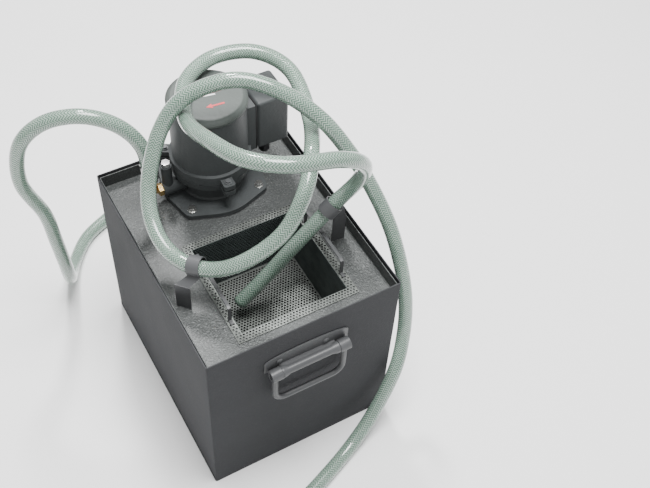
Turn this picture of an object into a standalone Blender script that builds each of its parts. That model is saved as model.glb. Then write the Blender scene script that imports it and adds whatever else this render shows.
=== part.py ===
"""Coolant tank with a recessed lid, a lift-out strainer basket, an immersion pump and two hoses.

Frame: X to the right along the front, Y to the back, Z up, origin at the middle of the tank's base.
Lengths below are millimetres and become metres through MM.
"""
import math

import bmesh
import bpy
from mathutils import Matrix, Vector
from mathutils.geometry import convex_hull_2d

MM = 0.001
GAP = 0.3                      # clearance left between neighbouring solids
NAME = "parts_washer_tank"

# Tank
TANK_W = 300.0
TANK_D = 382.0
TANK_H = 326.0
SHEET = 1.5
SKIRT_H = 8.0                  # lapped strip round the foot of the walls
SKIRT_PROUD = 0.5
CORNER_R = 2.5
DRAIN_X = -95.0                # drain socket in the back wall
DRAIN_Z = 26.0

# Lid tray
LID_TOP = 301.0
LID_T = 1.5
LID_RIM_TOP = 323.0
LID_X = (-146.5, 145.5)
LID_Y = (-188.2, 187.0)
LEDGE_W = 9.0
PEEP_HOLE = (-72.0, 150.0, 4.0)

# Strainer basket
BASKET_OUTER_X = (-88.0, 100.0)
BASKET_OUTER_Y = (-162.0, 26.0)
BASKET_X = (-76.6, 87.2)
BASKET_Y = (-148.0, 13.0)
BASKET_FLOOR = 200.0
BASKET_T = 1.2
BASKET_LIFT_GAP = 0.4

# Pump
PUMP_X = 8.0
PUMP_Y = 124.5
FLANGE_R = 76.0
FLANGE_T = 7.0
FLANGE_BACK = 185.0            # the flange is cut flat here to clear the lid's rim
SCREW_DX = 55.0
SCREW_DY = 48.3
SCREW_SIGNS = ((-1, -1), (1, -1), (1, 1), (-1, 1))
LOBE_R = 12.0
GASKET_T = 1.5
NECK_R = 46.0
RING_Z = (341.0, 354.0)        # lower, fixed ring of the bracket
EAR_R = 68.0
EAR_HALF = 8.8
EAR_LOW_Z = (345.5, 353.0)     # the lug on the bracket
EAR_HIGH_Z = (356.2, 364.6)    # the lug on the motor
EAR_ANGLES = (-93.0, 45.0, 147.0)
MOTOR_RING_Z = (354.6, 370.0)
RING_R = 60.5
BARREL_R = 56.0
BARREL_TOP = 467.0
CAP_TOP = 478.0
CAP_R = 58.0
STEM_BOTTOM = 62.0
VOLUTE_Z = (24.0, 62.0)
SHAFT_R = 6.0
OUTLET_ROOT = (PUMP_X, PUMP_Y - 2.0, 325.0)
TURRET_X = -63.5               # the upright branch of the outlet that carries the priming plug
TURRET_H = 45.0                # its height above the outlet's middle
ELBOW_X = -73.0

# Terminal box
BOX_X = 76.0
BOX_DEPTH = 52.0
BOX_Y = (103.0, 165.0)
BOX_Z = (357.0, 447.0)
GLAND_X = 93.0
GLAND_Y = 116.0

# Hoses
HOSE_R = 11.0
COIL_R = 110.0
COIL_H = 44.0
DRAIN_COIL = (-100.0, -440.0)
DELIVERY_COIL = (75.0, 316.5)
COUPLING_AT = 78.0             # distance of a hose's end coupling from its coil's middle
COUPLING_R = 12.2

# Route of the drain hose's middle, from its open end in the basket to its coil.
DRAIN_ROUTE = [
    (-35, -52, 226), (14, -54, 273), (54, -60, 324), (109, -60, 376), (137, -80, 437), (127, -100, 491),
    (85, -109, 528), (16, -100, 543), (-28, -64, 542), (-46, -5, 528), (-45, 73, 497), (-15, 144, 492),
    (40, 173, 494), (99, 157, 495), (130, 105, 488), (117, 25, 473), (83, -42, 474), (49, -83, 452),
    (2, -106, 418), (-65, -97, 384), (-109, -58, 369), (-128, -4, 378), (-118, 49, 413), (-82, 81, 481),
    (-40, 82, 528), (22, 63, 548), (72, 28, 536), (113, -13, 503), (145, -43, 449), (167, -65, 398),
    (183, -101, 339), (189, -134, 279), (189, -159, 220), (180, -179, 159), (153, -205, 112),
    (109, -223, 44), (58, -243, 14), (-2, -268, 11.2), (-68, -292, 11.2), (-132, -311, 11.2),
]
# Route of the delivery hose's middle, from the pump's outlet to its coil.
DELIVERY_ROUTE = [
    (-86, 126, 352), (-93, 132, 416), (-120, 147, 456), (-163, 168, 473), (-210, 190, 460),
    (-245, 205, 417), (-255, 211, 342), (-234, 206, 268), (-228, 206, 200), (-223, 210, 138),
    (-218, 225, 79), (-209, 259, 36), (-188, 304, 15), (-151, 347, 11.2), (-102, 373, 11.2),
    (-49, 397, 11.2), (4, 429.5, 11.2),
]
HOSE_PITCH = 44.0              # length of one straight length of a drawn hose

# Front handle
HANDLE_Z = 257.0
HANDLE_HALF = 62.0
HANDLE_Y = -TANK_D / 2 + SKIRT_PROUD


# ---------------------------------------------------------------- scene set-up
def clear_scene():
    for ob in list(bpy.data.objects):
        bpy.data.objects.remove(ob, do_unlink=True)


def collection(name):
    col = bpy.data.collections.new(name)
    bpy.context.scene.collection.children.link(col)
    return col


clear_scene()
PARTS = collection(NAME)
CUTTERS = collection("cutters")
MATERIALS = {}


def material(name, color, roughness, metallic):
    mat = bpy.data.materials.new(name)
    mat.use_nodes = True
    shader = mat.node_tree.nodes["Principled BSDF"]
    shader.inputs["Base Color"].default_value = (*color, 1.0)
    shader.inputs["Roughness"].default_value = roughness
    shader.inputs["Metallic"].default_value = metallic
    MATERIALS[name] = mat


material("grey_paint", (0.20, 0.20, 0.205), 0.42, 0.1)
material("pale_paint", (0.42, 0.42, 0.42), 0.45, 0.1)
material("zinc_steel", (0.55, 0.55, 0.54), 0.35, 0.9)
material("chrome", (0.80, 0.80, 0.80), 0.15, 1.0)
material("brass", (0.72, 0.55, 0.25), 0.3, 1.0)
material("black_rubber", (0.02, 0.02, 0.02), 0.7, 0.0)
material("black_plastic", (0.02, 0.02, 0.02), 0.4, 0.0)
material("cast_iron", (0.14, 0.14, 0.145), 0.6, 0.4)
material("steel", (0.45, 0.45, 0.46), 0.4, 0.9)
material("copper_steel", (0.40, 0.22, 0.12), 0.5, 0.7)
material("hose_pvc", (0.52, 0.66, 0.57), 0.3, 0.0)


# ---------------------------------------------------------------- shape helpers
def link(ob, mat, col=None):
    for other in list(ob.users_collection):
        other.objects.unlink(ob)
    (col or PARTS).objects.link(ob)
    ob.data.materials.clear()
    ob.data.materials.append(MATERIALS[mat])
    if col is CUTTERS:
        ob.hide_render = True
        ob.display_type = "WIRE"
    return ob


def box(name, low, high, mat, col=None, bevel=0.0):
    """A box between two corners, with an optional rounding of all its edges."""
    size = [(b - a) * MM for a, b in zip(low, high)]
    bpy.ops.mesh.primitive_cube_add(size=1.0)
    ob = bpy.context.active_object
    ob.name = name
    ob.data.transform(Matrix.Diagonal((*size, 1.0)))
    ob.location = [(a + b) / 2 * MM for a, b in zip(low, high)]
    link(ob, mat, col)
    if bevel:
        add_bevel(ob, bevel)
    return ob


def add_bevel(ob, width, segments=2, angle=40.0):
    mod = ob.modifiers.new("edges", "BEVEL")
    mod.width = width * MM
    mod.segments = segments
    mod.limit_method = "ANGLE"
    mod.angle_limit = math.radians(angle)
    return mod


# Rotations that lay a turned shape's own +Z along a world direction.
AXIS_TURN = {"X": (0, 90, 0), "X_BACK": (0, -90, 0), "Y": (-90, 0, 0), "Y_FRONT": (90, 0, 0), "Z": (0, 0, 0)}


def turned(name, profile, at, mat, col=None, steps=32, axis="Z"):
    """A turned solid: (radius, height) pairs run down the outer side, about an axis through `at`.

    A profile that starts and ends on the axis makes a solid. Any other is closed into a ring."""
    solid = profile[0][0] == 0.0 and profile[-1][0] == 0.0
    bm = bmesh.new()
    verts = [bm.verts.new((r * MM, 0.0, z * MM)) for r, z in profile]
    for a, b in zip(verts, verts[1:]):
        bm.edges.new((a, b))
    if not solid:
        bm.edges.new((verts[-1], verts[0]))
    mesh = bpy.data.meshes.new(name)
    bm.to_mesh(mesh)
    bm.free()
    ob = bpy.data.objects.new(name, mesh)
    link(ob, mat, col)
    mod = ob.modifiers.new("turn", "SCREW")
    mod.steps = steps
    mod.render_steps = steps
    mod.use_merge_vertices = True
    mod.merge_threshold = 0.00002
    mod.use_smooth_shade = True
    ob.location = [c * MM for c in at]
    ob.rotation_euler = [math.radians(a) for a in AXIS_TURN[axis]]
    return ob


def ring(name, inner, outer, low, high, at, mat, col=None, steps=32, axis="Z"):
    profile = [(inner, high), (outer, high), (outer, low), (inner, low)]
    return turned(name, profile, at, mat, col, steps, axis)


def disc(name, radius, low, high, at, mat, col=None, steps=32, axis="Z"):
    profile = [(0.0, high), (radius, high), (radius, low), (0.0, low)]
    return turned(name, profile, at, mat, col, steps, axis)


def to_mesh(ob, mat, col=None):
    """Replace a curve by its welded mesh, so that it can be cut or joined."""
    graph = bpy.context.evaluated_depsgraph_get()
    mesh = bpy.data.meshes.new_from_object(ob.evaluated_get(graph))
    bm = bmesh.new()
    bm.from_mesh(mesh)
    bmesh.ops.remove_doubles(bm, verts=bm.verts, dist=0.00001)
    bm.to_mesh(mesh)
    bm.free()
    name = ob.name
    place = ob.matrix_world.copy()
    bpy.data.objects.remove(ob, do_unlink=True)
    new = bpy.data.objects.new(name, mesh)
    new.matrix_world = place
    return link(new, mat, col)


def outline(name, loops, low, high, mat, col=None, turn=(0.0, 0.0, 0.0), at=(0.0, 0.0, 0.0)):
    """A flat plate from closed loops of (x, y): the first is its edge, the others are holes."""
    curve = bpy.data.curves.new(name, "CURVE")
    curve.dimensions = "2D"
    curve.fill_mode = "BOTH"
    curve.extrude = (high - low) / 2 * MM
    for loop in loops:
        spline = curve.splines.new("POLY")
        spline.points.add(len(loop) - 1)
        spline.use_cyclic_u = True
        for point, (x, y) in zip(spline.points, loop):
            point.co = (x * MM, y * MM, 0.0, 1.0)
    ob = bpy.data.objects.new(name, curve)
    link(ob, mat, col)
    ob.rotation_euler = [math.radians(a) for a in turn]
    shift = ob.rotation_euler.to_matrix() @ Vector((0.0, 0.0, (low + high) / 2 * MM))
    ob.location = Vector([c * MM for c in at]) + shift
    bpy.context.view_layer.update()
    return to_mesh(ob, mat, col)


def circle(radius, at=(0.0, 0.0), steps=24, start=0.0, sweep=360.0):
    full = abs(sweep) == 360.0
    count = steps if full else steps + 1
    angles = [math.radians(start + sweep * i / steps) for i in range(count)]
    return [(at[0] + radius * math.cos(a), at[1] + radius * math.sin(a)) for a in angles]


def rectangle(x, y):
    return [(x[0], y[0]), (x[1], y[0]), (x[1], y[1]), (x[0], y[1])]


def tube(name, points, radius, mat, col=None, resolution=3):
    curve = bpy.data.curves.new(name, "CURVE")
    curve.dimensions = "3D"
    curve.bevel_depth = radius * MM
    curve.bevel_resolution = resolution
    curve.use_fill_caps = True
    spline = curve.splines.new("POLY")
    spline.points.add(len(points) - 1)
    for point, co in zip(spline.points, points):
        point.co = (co[0] * MM, co[1] * MM, co[2] * MM, 1.0)
    ob = bpy.data.objects.new(name, curve)
    return link(ob, mat, col)


def combine(target, tool, operation):
    mod = target.modifiers.new(operation.lower(), "BOOLEAN")
    mod.operation = operation
    mod.solver = "EXACT"
    mod.object = tool
    return target


def cut(target, tool):
    return combine(target, tool, "DIFFERENCE")


def join(target, tool):
    return combine(target, tool, "UNION")


def add_sheet(ob, thickness):
    """Thicken an open surface inwards, to an exact thickness at its corners too."""
    mod = ob.modifiers.new("sheet", "SOLIDIFY")
    mod.solidify_mode = "NON_MANIFOLD"
    mod.nonmanifold_thickness_mode = "CONSTRAINTS"
    mod.thickness = thickness * MM
    mod.offset = -1.0


def tray(name, x, y, low, high, wall, mat, top_out=None):
    """An open-topped sheet box. `top_out` turns the top of its walls outwards into a flange (x, y)."""
    bm = bmesh.new()
    loops = [(x, y, low), (x, y, high)]
    if top_out:
        loops.append((top_out[0], top_out[1], high))
    rows = [[bm.verts.new((a * MM, b * MM, z * MM)) for a, b in rectangle(lx, ly)] for lx, ly, z in loops]
    bm.faces.new(list(reversed(rows[0])))
    for below, above in zip(rows, rows[1:]):
        for i in range(4):
            j = (i + 1) % 4
            bm.faces.new((below[i], below[j], above[j], above[i]))
    mesh = bpy.data.meshes.new(name)
    bm.to_mesh(mesh)
    bm.free()
    ob = bpy.data.objects.new(name, mesh)
    link(ob, mat)
    add_sheet(ob, wall)
    return ob


def spline_points(route, pitch):
    """Points at an even pitch on a smooth curve through the route's points."""
    pts = [Vector(p) for p in route]
    pts = [pts[0] * 2 - pts[1]] + pts + [pts[-1] * 2 - pts[-2]]
    fine = []
    for p0, p1, p2, p3 in zip(pts, pts[1:], pts[2:], pts[3:]):
        for step in range(20):
            t = step / 20
            fine.append(0.5 * (2 * p1 + (p2 - p0) * t + (2 * p0 - 5 * p1 + 4 * p2 - p3) * t * t
                               + (3 * p1 - 3 * p2 + p3 - p0) * t ** 3))
    fine.append(pts[-2])
    run = [0.0]
    for a, b in zip(fine, fine[1:]):
        run.append(run[-1] + (b - a).length)
    count = max(2, round(run[-1] / pitch))
    out = []
    k = 0
    for i in range(count + 1):
        goal = run[-1] * i / count
        while k < len(run) - 2 and run[k + 1] < goal:
            k += 1
        share = (goal - run[k]) / max(run[k + 1] - run[k], 1e-9)
        out.append(fine[k].lerp(fine[k + 1], min(max(share, 0.0), 1.0)))
    return out


def hose_spot(route, target):
    """The place on a drawn hose nearest to `target`, kept off its joints, and the hose's direction there."""
    points = spline_points(route, HOSE_PITCH)
    best = None
    for a, b in zip(points, points[1:]):
        share = (Vector(target) - a).dot(b - a) / (b - a).length_squared
        spot = a.lerp(b, min(max(share, 0.3), 0.7))
        gap = (Vector(target) - spot).length
        if best is None or gap < best[0]:
            best = (gap, spot, (b - a).normalized())
    return best[1], best[2]


def bolt(name, at, head_r, head_h, shank_r, length, mat="zinc_steel", axis="Z"):
    """A hexagon-headed bolt with its washer face: `at` is under the head, the shank runs down."""
    head = disc(name, head_r, 1.0, head_h, at, mat, steps=6, axis=axis)
    body = [(0.0, 1.2), (head_r + 1.2, 1.2), (head_r + 1.2, 0.0), (shank_r, 0.0), (shank_r, -length), (0.0, -length)]
    tool = turned(name + "_shank", body, at, mat, CUTTERS, steps=16, axis=axis)
    return join(head, tool)


# ---------------------------------------------------------------- tank
def make_tank_shell():
    bm = bmesh.new()
    half_w, half_d = TANK_W / 2, TANK_D / 2
    levels = [(0.0, 0.0), (SKIRT_H, 0.0), (SKIRT_H + 0.4, SKIRT_PROUD), (TANK_H, SKIRT_PROUD)]
    rows = []
    for z, inset in levels:
        w, d = half_w - inset, half_d - inset
        rows.append([bm.verts.new((a * MM, b * MM, z * MM)) for a, b in rectangle((-w, w), (-d, d))])
    bm.faces.new(list(reversed(rows[0])))
    upright = []
    for below, above in zip(rows, rows[1:]):
        for i in range(4):
            j = (i + 1) % 4
            bm.faces.new((below[i], below[j], above[j], above[i]))
            upright.append(bm.edges.get((below[i], above[i])))
    bmesh.ops.bevel(bm, geom=upright, offset=CORNER_R * MM, segments=2, profile=0.5, affect="EDGES")
    mesh = bpy.data.meshes.new("tank_shell")
    bm.to_mesh(mesh)
    bm.free()
    ob = bpy.data.objects.new("tank_shell", mesh)
    link(ob, "grey_paint")
    add_sheet(ob, SHEET)
    hole = disc("drain_hole", 11.0, -20.0, 20.0, (DRAIN_X, TANK_D / 2, DRAIN_Z), "steel", CUTTERS, 24, "Y")
    cut(ob, hole)


def make_tank_fittings():
    inner_x = TANK_W / 2 - SKIRT_PROUD - SHEET - GAP
    inner_y = TANK_D / 2 - SKIRT_PROUD - SHEET - GAP
    low = LID_TOP - LID_T - GAP - 2.0
    edge = [(-inner_x + 2, -inner_y), (inner_x - 2, -inner_y), (inner_x, -inner_y + 2), (inner_x, inner_y - 2)]
    edge += [(-px, -py) for px, py in edge]
    hole_x, hole_y = inner_x - LEDGE_W, inner_y - LEDGE_W
    frame = [edge, rectangle((-hole_x, hole_x), (-hole_y, hole_y))]
    outline("lid_ledge", frame, low, low + 2.0, "grey_paint")
    # Weir between the settling chamber under the basket and the pump's chamber, standing on the floor.
    weir = rectangle((-inner_x, inner_x), (SHEET + GAP, 190.0))
    notches = [circle(11.0, (x, 165.0), 16) for x in (-90.0, -45.0, 45.0, 90.0)]
    outline("weir_plate", [weir] + notches, -0.75, 0.75, "grey_paint", turn=(90, 0, 0), at=(0, 40, 0))
    back = TANK_D / 2 - SKIRT_PROUD
    place = (DRAIN_X, back, DRAIN_Z)
    ring("drain_socket", 7.0, 10.6, -9.0, 8.0, place, "steel", steps=24, axis="Y")
    ring("drain_plug_washer", 7.0, 13.0, 8.3, 9.8, place, "brass", steps=24, axis="Y")
    head = disc("drain_plug", 11.0, 10.1, 17.0, place, "zinc_steel", steps=6, axis="Y")
    stem = disc("drain_plug_stem", 6.6, -4.0, 10.4, place, "zinc_steel", CUTTERS, 20, "Y")
    join(head, stem)


# ---------------------------------------------------------------- lid tray
def make_lid():
    lid = tray("lid_tray", LID_X, LID_Y, LID_TOP - LID_T, LID_RIM_TOP, LID_T, "pale_paint")
    x = (BASKET_X[0] - 2.5, BASKET_X[1] + 2.5)
    y = (BASKET_Y[0] - 2.5, BASKET_Y[1] + 2.5)
    window = box("lid_window", (x[0], y[0], LID_TOP - 9), (x[1], y[1], LID_TOP + 9), "steel", CUTTERS)
    stem_hole = disc("lid_stem_hole", 49.0, -9, 9, (PUMP_X, PUMP_Y, LID_TOP), "steel", CUTTERS, 40)
    peep = disc("lid_peep_hole", PEEP_HOLE[2], -9, 9, (PEEP_HOLE[0], PEEP_HOLE[1], LID_TOP), "steel", CUTTERS, 16)
    for tool in (window, stem_hole, peep):
        cut(lid, tool)
    for i, (sx, sy) in enumerate(SCREW_SIGNS):
        spot = (PUMP_X + sx * SCREW_DX, PUMP_Y + sy * SCREW_DY, LID_TOP)
        cut(lid, disc(f"lid_screw_hole_{i}", 3.4, -9, 9, spot, "steel", CUTTERS, 12))


# ---------------------------------------------------------------- strainer basket
def make_basket():
    low = BASKET_FLOOR
    high = LID_TOP + BASKET_LIFT_GAP
    grow = BASKET_T
    wall_x = (BASKET_X[0] - grow, BASKET_X[1] + grow)
    wall_y = (BASKET_Y[0] - grow, BASKET_Y[1] + grow)
    tray("strainer_basket", wall_x, wall_y, low - BASKET_T, high, BASKET_T, "zinc_steel",
         (BASKET_OUTER_X, BASKET_OUTER_Y))
    for side, x in (("left", -82.0), ("right", 93.5)):
        make_basket_handle(f"basket_handle_{side}", x, high + BASKET_T + GAP)


def make_basket_handle(name, x, low):
    """A strip bent into a low bridge with feet turned outwards."""
    top = 28.0
    strip = 1.6
    y0, y1 = -121.0, -17.0
    outer = [(y0 - 9, 0), (y0, 0), (y0, top - 7), (y0 + 2, top - 2), (y0 + 7, top)]
    inner = [(y0 - 9, strip), (y0 - strip, strip), (y0 - strip, top - 6)]
    inner += [(y0 + 0.8 - strip, top - 1), (y0 + 6, top + strip)]
    middle = (y0 + y1) / 2
    left = outer + [(2 * middle - y, z) for y, z in reversed(outer)]
    right = inner + [(2 * middle - y, z) for y, z in reversed(inner)]
    loop = left + list(reversed(right))
    outline(name, [loop], -2.6, 2.6, "zinc_steel", turn=(90, 0, 90), at=(x, 0, low))


# ---------------------------------------------------------------- hose clips
def make_clip(name, foot, near, width, post_half):
    """A strip that stands on the lid, leans in under the hose at its top and curls round it."""
    centre, axis = hose_spot(DRAIN_ROUTE, near)
    inner, outer = HOSE_R + 1.6, HOSE_R + 3.0
    side = Vector((0, 0, 1)).cross(axis).normalized()
    up = axis.cross(side)
    to_foot = Vector((foot[0] - centre[0], foot[1] - centre[1], -30.0))
    down = math.degrees(math.atan2(to_foot.dot(up), to_foot.dot(side)))
    hug = circle(outer, steps=24, start=down - 10, sweep=330)
    back = circle(inner, steps=24, start=down + 320, sweep=-330)
    band = outline(name, [hug + back], -width / 2, width / 2, "grey_paint")
    frame = Matrix((side, up, axis)).transposed().to_4x4()
    band.matrix_world = Matrix.Translation(centre * MM) @ frame
    flat = Vector((axis.x, axis.y, 0.0)).normalized()
    normal = Vector((0, 0, 1)).cross(flat)
    stand = Matrix((flat, normal, Vector((0, 0, 1)))).transposed().to_4x4()
    lean = math.radians(down)
    ring_low = centre + (side * math.cos(lean) + up * math.sin(lean)) * (outer - 0.5)
    foot_at = Vector((foot[0], foot[1], LID_TOP + GAP))
    knee = Vector((foot[0], foot[1], ring_low.z - 13.0))
    high = knee.z - foot_at.z + 0.6
    post = box(name + "_post", (-post_half, -0.9, 0.0), (post_half, 0.9, high), "grey_paint", CUTTERS)
    post.data.transform(Matrix.Translation((0, 0, high / 2 * MM)))
    post.matrix_world = Matrix.Translation(foot_at * MM) @ stand
    reach = 13.5
    bend = box(name + "_bend", (-width / 2, -0.9, 0.0), (width / 2, 0.9, reach), "grey_paint", CUTTERS)
    slope = axis.z / math.hypot(axis.x, axis.y)
    shift = ring_low - knee
    for vert in bend.data.vertices:
        if vert.co.z > 0.0:
            vert.co += Vector((shift.dot(flat) * MM, shift.dot(normal) * MM, vert.co.x * slope))
    bend.data.transform(Matrix.Translation((0, 0, reach / 2 * MM)))
    bend.matrix_world = Matrix.Translation(knee * MM) @ stand
    join(post, bend)
    join(band, post)


# ---------------------------------------------------------------- pump
def flange_outline():
    """A disc stretched over a rounded corner at each screw, cut flat at the back."""
    points = circle(FLANGE_R, (PUMP_X, PUMP_Y), 72)
    for sx, sy in SCREW_SIGNS:
        points += circle(LOBE_R, (PUMP_X + sx * SCREW_DX, PUMP_Y + sy * SCREW_DY), 32)
    points = [(x, min(y, FLANGE_BACK)) for x, y in points]
    return [points[i] for i in convex_hull_2d(points)]


def make_pump_mounting():
    screw_holes = [circle(3.4, (PUMP_X + sx * SCREW_DX, PUMP_Y + sy * SCREW_DY), 12) for sx, sy in SCREW_SIGNS]
    bore = circle(49.0, (PUMP_X, PUMP_Y), 40)
    low = LID_TOP + GAP
    outline("pump_gasket", [flange_outline(), bore] + screw_holes, low, low + GASKET_T, "black_rubber")
    low += GASKET_T + GAP
    flange = outline("pump_bracket", [flange_outline()] + screw_holes, low, low + FLANGE_T, "grey_paint")
    top = low + FLANGE_T
    centre = (PUMP_X, PUMP_Y, 0.0)
    neck = [(NECK_R + 3, top - 1), (NECK_R, top + 3), (NECK_R, RING_Z[0] - 4), (RING_R - 1, RING_Z[0] + 2),
            (RING_R, RING_Z[1]), (0.0, RING_Z[1])]
    neck = [(0.0, RING_Z[1])] + list(reversed(neck[:-1])) + [(0.0, top - 1)]
    join(flange, turned("bracket_neck", neck, centre, "grey_paint", CUTTERS, 48))
    for i, angle in enumerate(EAR_ANGLES):
        join(flange, ear(f"bracket_ear_{i}", angle, *EAR_LOW_Z))
    bore = [(0.0, RING_Z[1] + 5), (36.0, RING_Z[1] + 5), (36.0, low + 4), (41.0, low + 4), (41.0, low - 5), (0.0, low - 5)]
    cut(flange, turned("bracket_bore", bore, centre, "steel", CUTTERS, 40))
    for i, angle in enumerate(EAR_ANGLES):
        cut(flange, ear_hole(f"bracket_ear_hole_{i}", angle, 2.6))
    cut(flange, disc("outlet_port", 7.5, 30.0, 60.0, OUTLET_ROOT, "steel", CUTTERS, 20, "X_BACK"))
    for i, (sx, sy) in enumerate(SCREW_SIGNS):
        spot = (PUMP_X + sx * SCREW_DX, PUMP_Y + sy * SCREW_DY, top + GAP)
        bolt(f"pump_screw_{i + 1}", spot, 5.5, 6.0, 3.0, 16.0)


def ear(name, angle, low, high):
    """A square lug standing out of a ring at the given angle."""
    tip = EAR_R + 8.5
    loop = [(48.0, -11.0), (62.0, -EAR_HALF), (tip - 2.5, -EAR_HALF), (tip, 2.5 - EAR_HALF), (tip, EAR_HALF - 2.5),
            (tip - 2.5, EAR_HALF), (62.0, EAR_HALF), (48.0, 11.0)]
    return outline(name, [loop], low, high, "grey_paint", CUTTERS, turn=(0, 0, angle), at=(PUMP_X, PUMP_Y, 0))


def ear_spot(angle, z):
    a = math.radians(angle)
    return (PUMP_X + EAR_R * math.cos(a), PUMP_Y + EAR_R * math.sin(a), z)


def ear_hole(name, angle, radius):
    return disc(name, radius, -30, 30, ear_spot(angle, RING_Z[1]), "steel", CUTTERS, 12)


def make_motor():
    centre = (PUMP_X, PUMP_Y, 0.0)
    low, high = MOTOR_RING_Z
    profile = [(BARREL_R - 4, BARREL_TOP), (BARREL_R, BARREL_TOP), (BARREL_R, high + 1), (RING_R, high),
               (RING_R, low), (30.0, low), (30.0, low + 5), (BARREL_R - 4, low + 5)]
    barrel = turned("motor_housing", profile, centre, "grey_paint", steps=48)
    for i, angle in enumerate(EAR_ANGLES):
        join(barrel, ear(f"motor_ear_{i}", angle, *EAR_HIGH_Z))
    pad = box("terminal_pad", (40.0, BOX_Y[0] + 1, BOX_Z[0] + 2), (BOX_X - 2.3, BOX_Y[1] - 1, BOX_Z[1] - 2),
              "grey_paint", CUTTERS)
    join(barrel, pad)
    wires = disc("wire_hole", 8.0, 40.0, 80.0, (PUMP_X, PUMP_Y, 405.0), "steel", CUTTERS, 16, "X")
    cut(barrel, wires)
    for i, angle in enumerate(EAR_ANGLES):
        cut(barrel, ear_hole(f"motor_ear_hole_{i}", angle, 3.0))
    inside = disc("motor_bore", BARREL_R - 4, low + 5, BARREL_TOP + 5, centre, "steel", CUTTERS, 48)
    cut(barrel, inside)
    for i, angle in enumerate(EAR_ANGLES):
        bolt(f"motor_bolt_{i + 1}", ear_spot(angle, EAR_HIGH_Z[1] + GAP), 4.4, 4.0, 2.3, 21.0)
    cap = [(0.0, CAP_TOP), (CAP_R - 8, CAP_TOP), (CAP_R - 5, CAP_TOP - 1.5), (CAP_R - 3.5, CAP_TOP - 5),
           (CAP_R, CAP_TOP - 6), (CAP_R, BARREL_TOP + GAP), (BARREL_R - 4.4, BARREL_TOP + GAP),
           (BARREL_R - 4.4, BARREL_TOP + 3.5), (CAP_R - 9, CAP_TOP - 3), (0.0, CAP_TOP - 3)]
    turned("motor_cap", cap, centre, "pale_paint", steps=48)


def make_motor_inside():
    centre = (PUMP_X, PUMP_Y, 0.0)
    ring("stator_core", 30.0, BARREL_R - 4.3, 378.0, 436.0, centre, "copper_steel", steps=40)
    ring("lower_bearing", SHAFT_R + GAP, 13.0, 359.9, 369.0, centre, "steel", steps=24)
    cup = [(13.3, 372.0), (29.0, 372.0), (29.0, 359.9), (13.3, 359.9)]
    turned("lower_bearing_cup", cup, centre, "cast_iron", steps=32)
    ring("upper_bearing", SHAFT_R + GAP, 13.0, 445.0, 454.0, centre, "steel", steps=24)
    plate = [(13.3, 456.0), (BARREL_R - 4.3, 456.0), (BARREL_R - 4.3, 446.0), (BARREL_R - 9, 446.0),
             (BARREL_R - 12, 451.0), (18.0, 451.0), (18.0, 444.0), (13.3, 444.0)]
    turned("upper_bearing_plate", plate, centre, "cast_iron", steps=40)
    disc("pump_shaft", SHAFT_R, 44.0, 458.0, centre, "steel", steps=20)
    ring("rotor_core", SHAFT_R + GAP, 29.0, 380.0, 434.0, centre, "steel", steps=32)
    ring("shaft_seal", SHAFT_R + GAP, 20.0, 346.0, 353.0, centre, "black_rubber", steps=24)


def make_stem():
    """The part that hangs in the liquid: the stem, the volute with its inlet, and the impeller."""
    centre = (PUMP_X, PUMP_Y, 0.0)
    low = LID_TOP + 2 * GAP + GASKET_T + 4 - GAP
    stem = [(22.0, low), (40.6, low), (40.6, low - 4), (26.0, low - 26), (26.0, STEM_BOTTOM + 2 * GAP),
            (22.0, STEM_BOTTOM + 2 * GAP)]
    turned("pump_stem", stem, centre, "cast_iron", steps=32)
    top, bottom = VOLUTE_Z[1], VOLUTE_Z[0]
    shell = [(SHAFT_R + 4, top), (40.0, top), (44.0, top - 6), (44.0, bottom + 4), (41.0, bottom), (16.0, bottom),
             (16.0, bottom + 3), (38.0, bottom + 3), (40.0, bottom + 6), (40.0, top - 8), (38.0, top - 4),
             (SHAFT_R + 4, top - 4)]
    turned("pump_volute", shell, centre, "cast_iron", steps=40)
    wheel = ring("impeller", SHAFT_R + GAP, 15.0, 30.0, 54.0, centre, "brass", steps=24)
    join(wheel, ring("impeller_disc", SHAFT_R + 1, 36.0, 42.0, 45.0, centre, "brass", CUTTERS, 32))
    for i in range(6):
        low_corner, high_corner = (12.0, -1.2, 33.0), (34.0, 1.2, 43.0)
        vane = box(f"impeller_vane_{i}", low_corner, high_corner, "brass", CUTTERS)
        spin = Matrix.Rotation(math.radians(60.0 * i + 15.0), 4, "Z")
        shift = Matrix.Translation(Vector((PUMP_X, PUMP_Y, 0.0)) * MM)
        bpy.context.view_layer.update()
        vane.matrix_world = shift @ spin @ vane.matrix_world
        join(wheel, vane)
    screen = [(14.0, bottom - GAP), (18.5, bottom - GAP), (18.5, 6.0), (14.0, 6.0)]
    turned("inlet_screen", screen, centre, "zinc_steel", steps=24)


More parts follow.
